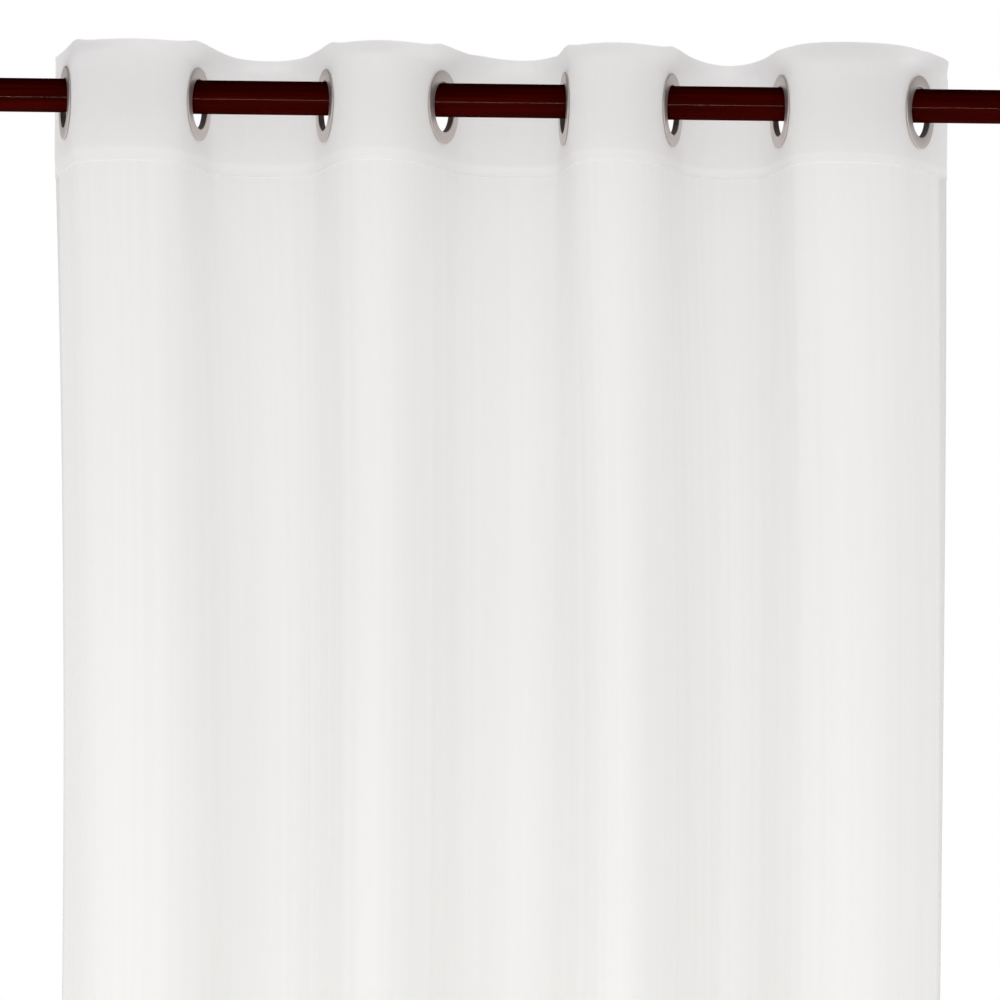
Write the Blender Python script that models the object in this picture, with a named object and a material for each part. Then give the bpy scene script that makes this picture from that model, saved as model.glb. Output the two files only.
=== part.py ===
"""A sheer eyelet curtain that hangs in deep folds from a round wooden rod.

The origin is on the rod's axis, halfway along it. +X runs along the rod to the viewer's right, +Y points
away from the viewer and +Z is up. All lengths are in metres and all angles in degrees.
"""

import math

import bmesh
import bpy
from mathutils import Matrix, Vector

# The rod
ROD_LENGTH = 1.2
ROD_RADIUS = 0.014
ROD_SIDES = 40
ROD_END_BEVEL = 0.0012
BEVEL_FROM_ANGLE = 60.0

# The cloth, as it was cut and sewn
CLOTH_WIDTH = 1.4
CLOTH_DROP = 2.4
TOP_EDGE = 0.0425
HEADING_HEIGHT = 0.1
HEADING_THICKNESS = 0.0016
PANEL_THICKNESS = 0.0012
CLEARANCE = 0.0003

# The eyelets. Each is a front half with a neck, and a back half that snaps round the neck behind the cloth.
# Their rims are rounded on the outside and drawn in a little where they meet the cloth.
EYELET_PITCH = 0.179
EYELET_SIDES = 28
BORE_RADIUS = 0.0206
NECK_WALL = 0.0014
RIM_RADIUS = 0.0305
FRONT_FLANGE = 0.0014
BACK_FLANGE = 0.0015
BACK_RIM_RADIUS = 0.0295
LIP_ROUNDING = 0.0006
UNDERCUT = 0.0003
FLAT_ROUND_EYELET = 0.0315
FLAT_AT_TOP = 0.012
CUTTER_DEPTH = 0.016

# Heights on the curtain, from the rod's axis. The cloth is flat round each eyelet and flares above it, and
# the folds have taken their own shape at sill height.
SEAM = TOP_EDGE - HEADING_HEIGHT
HEM = TOP_EDGE - CLOTH_DROP
SILL = -0.75
FLAT_ABOVE = 0.027
HALF_FLARED = 0.0345
FLAT_BELOW = -0.038
FLAT_AT_SILL = 0.012

# One row for each eyelet from left to right. x is its place along the rod, and lean is how far the cloth
# there turns from square to the rod. The shifts say how far the same line of cloth has moved along the rod
# at the top edge, at sill height and at the hem. Sway is how far it has moved from the viewer at the hem, and
# lift is how far the top edge stands up in the fold to its right.
FLANK_COLUMNS = ("x", "lean", "top_shift", "sill_shift", "sill_lean", "hem_shift", "hem_lean", "sway", "lift")
FLANKS = [
    dict(zip(FLANK_COLUMNS, row))
    for row in (
        (-0.3650, 17.0, 0.003, 0.013, 17.0, 0.004, 24.0, 0.006, -0.0040),
        (-0.2562, 11.5, 0.009, 0.019, 20.0, 0.022, 29.0, -0.004, -0.0015),
        (-0.1486, 16.5, -0.003, 0.010, 17.0, 0.006, 22.0, 0.009, -0.0039),
        (-0.0525, 22.0, 0.011, 0.006, 24.0, 0.012, 28.0, 0.002, 0.0021),
        (0.0508, 6.0, -0.003, 0.010, 14.0, 0.012, 23.0, -0.008, -0.0037),
        (0.1382, 18.0, 0.009, 0.017, 22.0, 0.024, 27.0, 0.005, 0.0006),
        (0.2306, 8.5, -0.007, 0.010, 14.0, 0.010, 20.0, -0.003, 0.0020),
        (0.3445, 30.0, 0.014, 0.014, 27.0, 0.018, 25.0, 0.007, 0.0),
    )
]

# How far the free edges past the end eyelets turn on their way out to the side hems, at each height
FREE_EDGE_TURN = {
    "left": {"top": 4.0, "rod": -3.0, "sill": -5.0, "hem": 12.0},
    "right": {"top": 40.0, "rod": 8.0, "sill": 18.0, "hem": 8.0},
}

# How finely the cloth is divided
SPANS_PER_FOLD = 10
SPANS_PER_FREE_EDGE = 3
CURVE_SAMPLES = 96
HALVINGS = 30
HEADING_ROWS = (SEAM, FLAT_BELOW, FLAT_ABOVE, HALF_FLARED, TOP_EDGE)
PANEL_ROWS = (HEM, -2.08, -1.78, -1.45, -1.1, -0.8, -0.55, -0.36, -0.22, -0.13, SEAM - CLEARANCE)

# Materials: colour, roughness and metallic value
FINISHES = {
    "voile": ((0.84, 0.835, 0.82, 1.0), 0.85, 0.0),
    "heading": ((0.80, 0.795, 0.785, 1.0), 0.85, 0.0),
    "satin_nickel": ((0.55, 0.52, 0.49, 1.0), 0.38, 1.0),
    "mahogany": ((0.085, 0.012, 0.008, 1.0), 0.25, 0.0),
}


def clear_scene():
    for obj in list(bpy.data.objects):
        bpy.data.objects.remove(obj)


def finish(name):
    """The named finish as a material, made once."""
    found = bpy.data.materials.get(name)
    if found:
        return found
    colour, roughness, metallic = FINISHES[name]
    made = bpy.data.materials.new(name)
    made.use_nodes = True
    shader = made.node_tree.nodes["Principled BSDF"]
    shader.inputs["Base Color"].default_value = colour
    shader.inputs["Roughness"].default_value = roughness
    shader.inputs["Metallic"].default_value = metallic
    return made


def new_object(name, mesh_builder, finish_name):
    """Puts a bmesh into the scene as a named object with its finish."""
    mesh = bpy.data.meshes.new(name)
    mesh_builder.to_mesh(mesh)
    mesh_builder.free()
    mesh.materials.append(finish(finish_name))
    obj = bpy.data.objects.new(name, mesh)
    bpy.context.scene.collection.objects.link(obj)
    return obj


def ease(share):
    """A share from 0 to 1, with a level start and end."""
    share = min(max(share, 0.0), 1.0)
    return share * share * (3.0 - 2.0 * share)


def settle(share):
    """A share from 0 to 1 that changes most at its start and comes to rest at its end."""
    share = min(max(share, 0.0), 1.0)
    return share * (2.0 - share)


def share_to_top(height):
    return ease((height - FLAT_ABOVE) / (TOP_EDGE - FLAT_ABOVE))


def at_height(height, top, rod, sill, hem):
    """A value at this height, from its values at the top edge, the rod, the sill and the hem."""
    to_sill = settle((FLAT_BELOW - height) / (FLAT_BELOW - SILL))
    to_hem = ease((SILL - height) / (SILL - HEM))
    return rod + share_to_top(height) * (top - rod) + to_sill * (sill - rod) + to_hem * (hem - sill)


def flank_at(index, height):
    """The centre and the direction of the cloth at one eyelet's line, at this height."""
    flank = FLANKS[index]
    shift = at_height(height, flank["top_shift"], 0.0, flank["sill_shift"], flank["hem_shift"])
    lean = at_height(height, flank["lean"], flank["lean"], flank["sill_lean"], flank["hem_lean"])
    sway = at_height(height, 0.0, 0.0, 0.0, flank["sway"])
    sideways = math.sin(math.radians(lean))
    backwards = math.cos(math.radians(lean))
    if index % 2 == 0:
        backwards = -backwards
    return Vector((flank["x"] + shift, sway)), Vector((sideways, backwards))


def curve_points(start, first_handle, last_handle, end):
    """A cubic curve as a fine row of points."""
    points = []
    for step in range(CURVE_SAMPLES + 1):
        t = step / CURVE_SAMPLES
        rest = 1.0 - t
        points.append(
            start * rest**3
            + first_handle * (3.0 * rest**2 * t)
            + last_handle * (3.0 * rest * t**2)
            + end * t**3
        )
    return points


def length_of(points):
    return sum((b - a).length for a, b in zip(points, points[1:]))


def evenly_spaced(points, spans):
    """Points at equal distances along a fine row of points."""
    step = length_of(points) / spans
    spaced = [points[0]]
    walked = 0.0
    for a, b in zip(points, points[1:]):
        stretch = (b - a).length
        while walked + stretch >= step * len(spaced) and len(spaced) < spans:
            spaced.append(a.lerp(b, (step * len(spaced) - walked) / stretch))
        walked += stretch
    spaced.append(points[-1])
    return spaced


def fold_between(start, leaving, end, arriving, length):
    """A round fold of this length of cloth, from start to end, that keeps both directions."""
    shortest, longest = 0.0, length
    for _ in range(HALVINGS):
        handle = (shortest + longest) / 2.0
        points = curve_points(start, start + leaving * handle, end - arriving * handle, end)
        if length_of(points) < length:
            shortest = handle
        else:
            longest = handle
    return evenly_spaced(points, SPANS_PER_FOLD)


def free_edge(start, direction, length, turn):
    """The cloth from an end eyelet out to its side hem, bending by turn on the way."""
    points = [start]
    step = length / SPANS_PER_FREE_EDGE
    for span in range(SPANS_PER_FREE_EDGE):
        angle = math.radians(turn) * (span + 0.5) / SPANS_PER_FREE_EDGE
        points.append(points[-1] + (Matrix.Rotation(angle, 2) @ direction) * step)
    return points


def cloth_row(height):
    """The plan of the cloth at one height, as points from the left side hem to the right one."""
    flat = at_height(height, FLAT_AT_TOP, FLAT_ROUND_EYELET, FLAT_AT_SILL, FLAT_AT_SILL)
    outside = (CLOTH_WIDTH - (len(FLANKS) - 1) * EYELET_PITCH) / 2.0 - flat
    turns = {side: at_height(height, **turn) for side, turn in FREE_EDGE_TURN.items()}
    centre, direction = flank_at(0, height)
    row = list(reversed(free_edge(centre - direction * flat, -direction, outside, turns["left"])))
    for index in range(len(FLANKS) - 1):
        following, onward = flank_at(index + 1, height)
        row += fold_between(
            centre + direction * flat,
            direction,
            following - onward * flat,
            onward,
            EYELET_PITCH - 2.0 * flat,
        )
        centre, direction = following, onward
    return row + free_edge(centre + direction * flat, direction, outside, turns["right"])


def top_edge_lifts():
    """How far the top edge stands up at each point of a cloth row."""
    at_free_edge = [0.0] * (SPANS_PER_FREE_EDGE + 1)
    lifts = list(at_free_edge)
    for flank in FLANKS[:-1]:
        for span in range(SPANS_PER_FOLD + 1):
            from_middle = 2.0 * span / SPANS_PER_FOLD - 1.0
            lifts.append(flank["lift"] * (1.0 - from_middle**4))
    return lifts + at_free_edge


def hanging_sheet(name, heights, thickness, finish_name):
    """A sheet of cloth through the plans at these heights, thickened evenly to both sides."""
    builder = bmesh.new()
    lifts = top_edge_lifts()
    rows = []
    for height in heights:
        share = share_to_top(height)
        places = zip(cloth_row(height), lifts)
        rows.append([builder.verts.new((*point, height + share * lift)) for point, lift in places])
    for lower, upper in zip(rows, rows[1:]):
        for column in range(len(lower) - 1):
            corners = (lower[column], lower[column + 1], upper[column + 1], upper[column])
            builder.faces.new(corners)
    sheet = new_object(name, builder, finish_name)
    sheet.data.shade_smooth()
    thicken = sheet.modifiers.new("thickness", "SOLIDIFY")
    thicken.thickness = thickness
    thicken.offset = 0.0
    thicken.use_even_offset = True
    return sheet


def hanging_drop(lean):
    """How far an eyelet's centre hangs below the rod's axis when its bore rests on the rod.

    The rod passes the bore at an angle of lean, so the touching point is searched for round the rod's top, at
    the end of the neck. The bore's flat sides reach in a little further than its corners."""
    angle = math.radians(lean)
    half_neck = HEADING_THICKNESS / 2.0 + CLEARANCE + max(FRONT_FLANGE, BACK_FLANGE)
    free_radius = BORE_RADIUS * math.cos(math.pi / EYELET_SIDES) - CLEARANCE
    drop = BORE_RADIUS
    for degree in range(90):
        aside = ROD_RADIUS * math.sin(math.radians(degree))
        above = ROD_RADIUS * math.cos(math.radians(degree))
        across = (aside + half_neck * math.sin(angle)) / math.cos(angle)
        if across < free_radius:
            drop = min(drop, math.sqrt(free_radius**2 - across**2) - above)
    return drop


def eyelet_place(index):
    """Puts an eyelet's own +Z on the cloth's outward face at its line, at the height where it hangs."""
    centre, direction = flank_at(index, 0.0)
    outward = Vector((direction.y, -direction.x, 0.0))
    across = Vector((direction.x, direction.y, 0.0))
    turn = Matrix((across, outward.cross(across), outward)).transposed().to_4x4()
    drop = hanging_drop(FLANKS[index]["lean"])
    return Matrix.Translation((centre.x, centre.y, -drop)) @ turn


def turned_ring(name, profile, place):
    """A ring turned from a closed profile of (radius, height) points, listed against the clock."""
    builder = bmesh.new()
    rings = []
    for side in range(EYELET_SIDES):
        angle = 2.0 * math.pi * side / EYELET_SIDES
        rings.append(
            [builder.verts.new((r * math.cos(angle), r * math.sin(angle), z)) for r, z in profile]
        )
    count = len(profile)
    for side, ring in enumerate(rings):
        following = rings[(side + 1) % EYELET_SIDES]
        for k in range(count):
            after = (k + 1) % count
            builder.faces.new((ring[k], following[k], following[after], ring[after]))
    ring = new_object(name, builder, "satin_nickel")
    ring.data.shade_smooth()
    ring.matrix_world = place
    return ring


def front_profile():
    """The front half: a flange with a rounded lip and rim, and the neck through the cloth."""
    face = HEADING_THICKNESS / 2.0 + CLEARANCE
    top = face + FRONT_FLANGE
    neck_end = -face - BACK_FLANGE
    return (
        (BORE_RADIUS, neck_end),
        (BORE_RADIUS + NECK_WALL, neck_end),
        (BORE_RADIUS + NECK_WALL, face),
        (RIM_RADIUS - UNDERCUT, face),
        (RIM_RADIUS, top - LIP_ROUNDING),
        (RIM_RADIUS - LIP_ROUNDING, top),
        (BORE_RADIUS + LIP_ROUNDING, top),
        (BORE_RADIUS, top - LIP_ROUNDING),
    )


def back_profile():
    """The back half: a plain flange round the end of the neck."""
    face = -HEADING_THICKNESS / 2.0 - CLEARANCE
    foot = face - BACK_FLANGE
    inner = BORE_RADIUS + NECK_WALL + CLEARANCE
    return (
        (inner, foot),
        (BACK_RIM_RADIUS - LIP_ROUNDING, foot),
        (BACK_RIM_RADIUS, foot + LIP_ROUNDING),
        (BACK_RIM_RADIUS - UNDERCUT, face),
        (inner, face),
    )


def build_eyelets():
    for index in range(len(FLANKS)):
        place = eyelet_place(index)
        turned_ring(f"eyelet_front_{index + 1}", front_profile(), place)
        turned_ring(f"eyelet_back_{index + 1}", back_profile(), place)


def hole_cutter(index):
    """A plug that cuts one eyelet's hole, a little wider than the neck."""
    builder = bmesh.new()
    radius = BORE_RADIUS + NECK_WALL + 2.0 * CLEARANCE
    bmesh.ops.create_cone(
        builder,
        cap_ends=True,
        segments=EYELET_SIDES,
        radius1=radius,
        radius2=radius,
        depth=CUTTER_DEPTH,
    )
    cutter = new_object(f"hole_cutter_{index + 1}", builder, "heading")
    cutter.matrix_world = eyelet_place(index)
    cutter.hide_render = True
    cutter.display_type = "WIRE"
    return cutter


def build_heading():
    """The stiffened band along the top, with a hole for each eyelet."""
    heading = hanging_sheet("heading", HEADING_ROWS, HEADING_THICKNESS, "heading")
    for index in range(len(FLANKS)):
        cut = heading.modifiers.new(f"hole_{index + 1}", "BOOLEAN")
        cut.operation = "DIFFERENCE"
        cut.object = hole_cutter(index)
    return heading


def build_rod():
    """The round rod along X, with softened ends."""
    builder = bmesh.new()
    bmesh.ops.create_cone(
        builder,
        cap_ends=True,
        segments=ROD_SIDES,
        radius1=ROD_RADIUS,
        radius2=ROD_RADIUS,
        depth=ROD_LENGTH,
        matrix=Matrix.Rotation(math.radians(90.0), 4, "Y"),
    )
    rod = new_object("rod", builder, "mahogany")
    rod.data.shade_smooth()
    rod.data.set_sharp_from_angle(angle=math.radians(BEVEL_FROM_ANGLE))
    soften = rod.modifiers.new("softened ends", "BEVEL")
    soften.width = ROD_END_BEVEL
    soften.segments = 2
    soften.limit_method = "ANGLE"
    soften.angle_limit = math.radians(BEVEL_FROM_ANGLE)
    return rod


def main():
    clear_scene()
    build_rod()
    build_heading()
    hanging_sheet("panel", PANEL_ROWS, PANEL_THICKNESS, "voile")
    build_eyelets()


main()
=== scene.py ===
# %% [markdown]
# # A sheer eyelet curtain on a wooden rod
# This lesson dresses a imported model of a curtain. The solids already have the right sizes and folds, but they
# are plain. Each step below makes one visible piece at its true thinness, or one finish, around those solids.
# Lengths are in metres. The origin is on the rod's axis, halfway along it. +X runs to the viewer's right, +Y
# points away from the viewer and +Z is up.

# %% Load the solids
import math

import bmesh
import bpy
import numpy as np
from mathutils import Matrix, Vector


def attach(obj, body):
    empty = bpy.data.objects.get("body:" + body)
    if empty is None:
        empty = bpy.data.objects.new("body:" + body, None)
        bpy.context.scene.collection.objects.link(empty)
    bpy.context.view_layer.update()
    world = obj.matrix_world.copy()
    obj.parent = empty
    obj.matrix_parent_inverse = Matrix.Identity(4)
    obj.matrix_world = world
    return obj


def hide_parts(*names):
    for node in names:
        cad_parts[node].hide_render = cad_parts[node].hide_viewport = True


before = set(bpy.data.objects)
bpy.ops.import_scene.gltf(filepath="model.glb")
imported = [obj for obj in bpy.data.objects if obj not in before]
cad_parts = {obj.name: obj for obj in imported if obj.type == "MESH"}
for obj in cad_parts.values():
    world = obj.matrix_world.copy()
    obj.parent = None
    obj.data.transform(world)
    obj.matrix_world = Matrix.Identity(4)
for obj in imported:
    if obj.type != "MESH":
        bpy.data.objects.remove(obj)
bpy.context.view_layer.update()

# %% [markdown]
# ## The camera
# The picture was taken level, from a little below the rod, with a long lens, so the folds hardly spread with
# distance. The rod runs slightly downhill to the right. On the real thing the rod is level and the camera was
# turned, so the turn goes into the camera here and every piece stays square to the world.

# %% Camera
CAMERA_DISTANCE = 2.3
CAMERA_HEIGHT = -0.3325
CAMERA_TURN = math.radians(0.7)
LENS_MM = 99.4

camera_data = bpy.data.cameras.new("camera")
camera_data.lens = LENS_MM
camera_data.dof.use_dof = False
camera = bpy.data.objects.new("camera", camera_data)
bpy.context.scene.collection.objects.link(camera)
upright = Matrix.Rotation(math.radians(90.0), 4, "X")
turned = Matrix.Rotation(CAMERA_TURN, 4, "Z")
camera.matrix_world = Matrix.Translation((0.0, -CAMERA_DISTANCE, CAMERA_HEIGHT)) @ upright @ turned
bpy.context.scene.camera = camera
print("camera:", LENS_MM, "mm at", [round(v, 3) for v in camera.location])

# %% [markdown]
# ## The sizes of the cloth
# An eyelet curtain folds because its eyelets are further apart on the cloth than on the rod. So the driving
# sizes are the cut width, the pitch of the eyelets on the cloth, and each eyelet's place on the rod. One row
# for each eyelet says where the cloth crosses the rod, how far it leans there from square to the rod, and how
# far that line of cloth has wandered at the top edge, at sill height and at the hem.

# %% Cloth sizes
CLOTH_WIDTH = 1.4
CLOTH_DROP = 2.4
TOP_EDGE = 0.0425
HEADING_HEIGHT = 0.1
EYELET_PITCH = 0.179
FLAT_ROUND_EYELET = 0.0315
FLAT_AT_TOP = 0.012
FLAT_AT_SILL = 0.012
SEAM = TOP_EDGE - HEADING_HEIGHT
HEM = TOP_EDGE - CLOTH_DROP
SILL = -0.75
FLAT_ABOVE = 0.027
FLAT_BELOW = -0.038

FLANK_COLUMNS = ("x", "lean", "top_shift", "sill_shift", "sill_lean", "hem_shift", "hem_lean", "sway", "lift")
FLANKS = [
    dict(zip(FLANK_COLUMNS, row))
    for row in (
        (-0.3650, 17.0, 0.003, 0.013, 17.0, 0.004, 24.0, 0.006, -0.0040),
        (-0.2562, 11.5, 0.009, 0.019, 20.0, 0.022, 29.0, -0.004, -0.0015),
        (-0.1486, 16.5, -0.003, 0.010, 17.0, 0.006, 22.0, 0.009, -0.0039),
        (-0.0525, 22.0, 0.011, 0.006, 24.0, 0.012, 28.0, 0.002, 0.0021),
        (0.0508, 6.0, -0.003, 0.010, 14.0, 0.012, 23.0, -0.008, -0.0037),
        (0.1382, 18.0, 0.009, 0.017, 22.0, 0.024, 27.0, 0.005, 0.0006),
        (0.2306, 8.5, -0.007, 0.010, 14.0, 0.010, 20.0, -0.003, 0.0020),
        (0.3445, 30.0, 0.014, 0.014, 27.0, 0.018, 25.0, 0.007, 0.0),
    )
]
FREE_EDGE_TURN = {
    "left": {"top": 4.0, "rod": -3.0, "sill": -5.0, "hem": 12.0},
    "right": {"top": 40.0, "rod": 8.0, "sill": 18.0, "hem": 8.0},
}
print("heading seam at", round(SEAM, 3), "and hem at", round(HEM, 3))

# %% [markdown]
# ## The plan of the folds
# Seen from above, the cloth is one long wavy line that never changes its length. Between two eyelets that line
# could be a sine wave, but then its length would be whatever it came to. A cubic curve leaves each eyelet in
# the cloth's own direction, and the pull of its handles is searched for until the curve is as long as the cloth
# between those eyelets. That is why close eyelets make deep folds and wide ones make shallow folds.

# %% Plan of the cloth at a height
SPANS_PER_FOLD = 28
SPANS_PER_FLAT = 6
SPANS_PER_FREE_EDGE = 8
CURVE_STEPS = np.linspace(0.0, 1.0, 97)[:, None]
HALVINGS = 24


def ease(share):
    """A share from 0 to 1, with a level start and end."""
    share = min(max(share, 0.0), 1.0)
    return share * share * (3.0 - 2.0 * share)


def settle(share):
    """A share from 0 to 1 that changes most at its start and comes to rest at its end."""
    share = min(max(share, 0.0), 1.0)
    return share * (2.0 - share)


def share_to_top(height):
    return ease((height - FLAT_ABOVE) / (TOP_EDGE - FLAT_ABOVE))


def at_height(height, top, rod, sill, hem):
    """A value at this height, from its values at the top edge, the rod, the sill and the hem."""
    to_sill = settle((FLAT_BELOW - height) / (FLAT_BELOW - SILL))
    to_hem = ease((SILL - height) / (SILL - HEM))
    return rod + share_to_top(height) * (top - rod) + to_sill * (sill - rod) + to_hem * (hem - sill)


def flank_at(index, height):
    """The centre and the direction of the cloth at one eyelet's line, at this height."""
    flank = FLANKS[index]
    shift = at_height(height, flank["top_shift"], 0.0, flank["sill_shift"], flank["hem_shift"])
    lean = at_height(height, flank["lean"], flank["lean"], flank["sill_lean"], flank["hem_lean"])
    sway = at_height(height, 0.0, 0.0, 0.0, flank["sway"])
    backwards = math.cos(math.radians(lean)) * (-1.0 if index % 2 == 0 else 1.0)
    return np.array((flank["x"] + shift, sway)), np.array((math.sin(math.radians(lean)), backwards))


def fold_between(start, leaving, end, arriving, length):
    """A round fold of this length of cloth that keeps both directions, as evenly spaced points."""
    t = CURVE_STEPS
    left = 1.0 - t
    shortest, longest = 0.0, length
    for _ in range(HALVINGS):
        pull = (shortest + longest) / 2.0
        first, last = start + leaving * pull, end - arriving * pull
        curve = start * left**3 + first * 3.0 * left**2 * t + last * 3.0 * left * t**2 + end * t**3
        walked = np.concatenate(([0.0], np.cumsum(np.linalg.norm(np.diff(curve, axis=0), axis=1))))
        if walked[-1] < length:
            shortest = pull
        else:
            longest = pull
    wanted = np.linspace(0.0, walked[-1], SPANS_PER_FOLD + 1)
    return np.stack([np.interp(wanted, walked, curve[:, axis]) for axis in range(2)], axis=1)


def free_edge(start, direction, length, turn):
    """The cloth from an end eyelet out to its side hem, bending by turn on the way."""
    points = [start]
    for span in range(SPANS_PER_FREE_EDGE):
        angle = math.radians(turn) * (span + 0.5) / SPANS_PER_FREE_EDGE
        c, s = math.cos(angle), math.sin(angle)
        way = np.array((c * direction[0] - s * direction[1], s * direction[0] + c * direction[1]))
        points.append(points[-1] + way * length / SPANS_PER_FREE_EDGE)
    return points


def cloth_row(height):
    """The plan at one height from the left edge to the right one: points, and places across the flat cloth."""
    flat = at_height(height, FLAT_AT_TOP, FLAT_ROUND_EYELET, FLAT_AT_SILL, FLAT_AT_SILL)
    outside = (CLOTH_WIDTH - (len(FLANKS) - 1) * EYELET_PITCH) / 2.0 - flat
    turns = {side: at_height(height, **turn) for side, turn in FREE_EDGE_TURN.items()}
    centre, direction = flank_at(0, height)
    points = free_edge(centre - direction * flat, -direction, outside, turns["left"])[::-1]
    for index in range(len(FLANKS)):
        centre, direction = flank_at(index, height)
        steps = np.linspace(-flat, flat, SPANS_PER_FLAT + 1)[1:-1]
        points += [centre + direction * step for step in steps]
        if index + 1 < len(FLANKS):
            following, onward = flank_at(index + 1, height)
            length = EYELET_PITCH - 2.0 * flat
            points += list(
                fold_between(centre + direction * flat, direction, following - onward * flat, onward, length)
            )
    points += free_edge(centre + direction * flat, direction, outside, turns["right"])
    points = np.array(points)
    across = np.concatenate(([0.0], np.cumsum(np.linalg.norm(np.diff(points, axis=0), axis=1))))
    return points, across - CLOTH_WIDTH / 2.0


plan, across = cloth_row(0.0)
print("points in a row:", len(plan), "cloth width:", round(float(across[-1] - across[0]), 4))

# %% [markdown]
# ## Creases and unevenness
# Real voile never hangs in perfectly smooth waves. It keeps soft upright troughs where it was folded, and
# shallow ridges that run down from the eyelets. They could be noise, but noise wanders in every direction, and
# cloth under its own weight creases almost straight down. So each crease is a row in a table: where it lies on
# the cloth, how wide and deep it is, how far it slants, and between which heights it fades in and out.

# %% Creases
CREASE_COLUMNS = ("across", "width", "depth", "slant", "top", "bottom")
CREASES = [
    dict(zip(CREASE_COLUMNS, row))
    for row in (
        (-0.672, 0.010, 0.0012, 0.000, -0.06, -1.70),
        (-0.612, 0.008, -0.0014, 0.010, -0.05, -0.95),
        (-0.575, 0.013, 0.0018, 0.012, -0.08, -1.50),
        (-0.520, 0.012, -0.0015, -0.008, -0.20, -2.10),
        (-0.470, 0.006, 0.0013, 0.000, -0.06, -1.20),
        (-0.428, 0.009, -0.0016, 0.014, -0.05, -0.80),
        (-0.385, 0.011, 0.0020, -0.010, -0.12, -0.62),
        (-0.352, 0.008, -0.0014, 0.006, -0.16, -1.30),
        (-0.318, 0.010, 0.0016, 0.004, -0.30, -2.20),
        (-0.262, 0.007, -0.0012, -0.006, -0.05, -0.70),
        (-0.225, 0.012, 0.0015, 0.008, -0.10, -1.60),
        (-0.165, 0.014, -0.0017, -0.012, -0.35, -2.00),
        (-0.108, 0.006, 0.0013, 0.000, -0.06, -1.10),
        (-0.060, 0.010, -0.0018, 0.012, -0.06, -0.75),
        (-0.022, 0.009, 0.0016, -0.006, -0.14, -1.40),
        (0.030, 0.012, -0.0014, 0.010, -0.30, -2.20),
        (0.074, 0.007, 0.0012, 0.000, -0.06, -0.90),
        (0.128, 0.012, -0.0016, 0.009, -0.12, -1.70),
        (0.190, 0.013, 0.0017, -0.010, -0.25, -2.10),
        (0.250, 0.006, 0.0014, 0.000, -0.06, -1.25),
        (0.292, 0.009, -0.0017, 0.014, -0.05, -0.70),
        (0.338, 0.010, 0.0018, -0.008, -0.15, -1.20),
        (0.392, 0.011, -0.0015, 0.006, -0.28, -2.10),
        (0.436, 0.007, 0.0012, 0.000, -0.06, -0.85),
        (0.498, 0.013, -0.0016, 0.010, -0.10, -1.60),
        (0.560, 0.012, 0.0018, -0.012, -0.22, -2.00),
        (0.608, 0.007, 0.0014, 0.000, -0.06, -1.00),
        (0.668, 0.010, -0.0012, 0.006, -0.10, -1.80),
    )
]
CREASE_FADE = 0.12


def crease_push(across, height):
    """How far the creases push the cloth towards the viewer at places across the cloth, at one height."""
    push = np.zeros_like(across)
    for crease in CREASES:
        line = crease["across"] + crease["slant"] * (crease["top"] - height)
        shown = ease((crease["top"] - height) / CREASE_FADE) * ease((height - crease["bottom"]) / CREASE_FADE)
        push += shown * crease["depth"] * np.exp(-(((across - line) / crease["width"]) ** 2))
    return push


print("creases:", len(CREASES), "deepest", max(abs(c["depth"]) for c in CREASES) * 1000.0, "mm")

# %% [markdown]
# ## From rows to a sheet
# A sheet of cloth is a grid: one row of points for each height. The points go down the cloth as well as across
# it, so each one also gets a place on the flat cloth, in metres, as its texture coordinate. The weave then
# follows the folds and never stretches. A doubled edge, such as a hem, is the same cloth turned back, so its
# points are simply more columns or rows of the same grid, set a little behind the first layer.

# %% Sheets of cloth
SIDE_HEM = 0.025
SIDE_HEM_SHARES = np.array((0.0, 0.2, 0.5, 0.8, 1.0))
HEM_LAYER = 0.0006
SEAM_SLOPE = 0.005
SLOPE_FADE = 0.25


def front_normals(points):
    """The direction out of the front of the cloth at each point of a row."""
    along = np.gradient(points, axis=0)
    along /= np.linalg.norm(along, axis=1)[:, None]
    return np.stack([along[:, 1], -along[:, 0]], axis=1)


def row_lifts(across):
    """How far the top edge stands up at each place across the cloth."""
    lifts = np.zeros_like(across)
    first = -(len(FLANKS) - 1) / 2.0 * EYELET_PITCH
    for index, flank in enumerate(FLANKS[:-1]):
        middle = first + (index + 0.5) * EYELET_PITCH
        half = EYELET_PITCH / 2.0 - FLAT_ROUND_EYELET
        from_middle = np.clip(np.abs(across - middle) / half, 0.0, 1.0)
        lifts += flank["lift"] * (1.0 - from_middle**4)
    return lifts


def seam_slope(across, height):
    """How far the seam, sewn a little out of level, lifts the cloth just above and below it."""
    above = ease((FLAT_BELOW - height) / (FLAT_BELOW - SEAM))
    below = 1.0 - ease((SEAM - height) / SLOPE_FADE)
    return SEAM_SLOPE * across * above * below


def hemmed_row(height, behind=0.0, side_hems=True):
    """One row of the grid with its turned-back side hems: places in space, and places on the flat cloth."""
    points, across = cloth_row(height)
    normals = front_normals(points)
    points = points + normals * (crease_push(across, height) - behind)[:, None]
    rows = [(points, across)]
    if side_hems:
        for end, inward in ((0, 1.0), (-1, -1.0)):
            edge = across[end]
            back = edge + inward * SIDE_HEM_SHARES * SIDE_HEM
            hem = np.stack([np.interp(back, across, points[:, axis]) for axis in range(2)], axis=1)
            out = np.stack([np.interp(back, across, normals[:, axis]) for axis in range(2)], axis=1)
            hem = hem - out * HEM_LAYER
            rows.append((hem, 2.0 * edge - back))
        (points, across), (left, left_across), (right, right_across) = rows
        points = np.concatenate([left[::-1], points, right])
        across = np.concatenate([left_across[::-1], across, right_across])
    return np.column_stack([points, height + seam_slope(across, height)]), across


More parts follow.
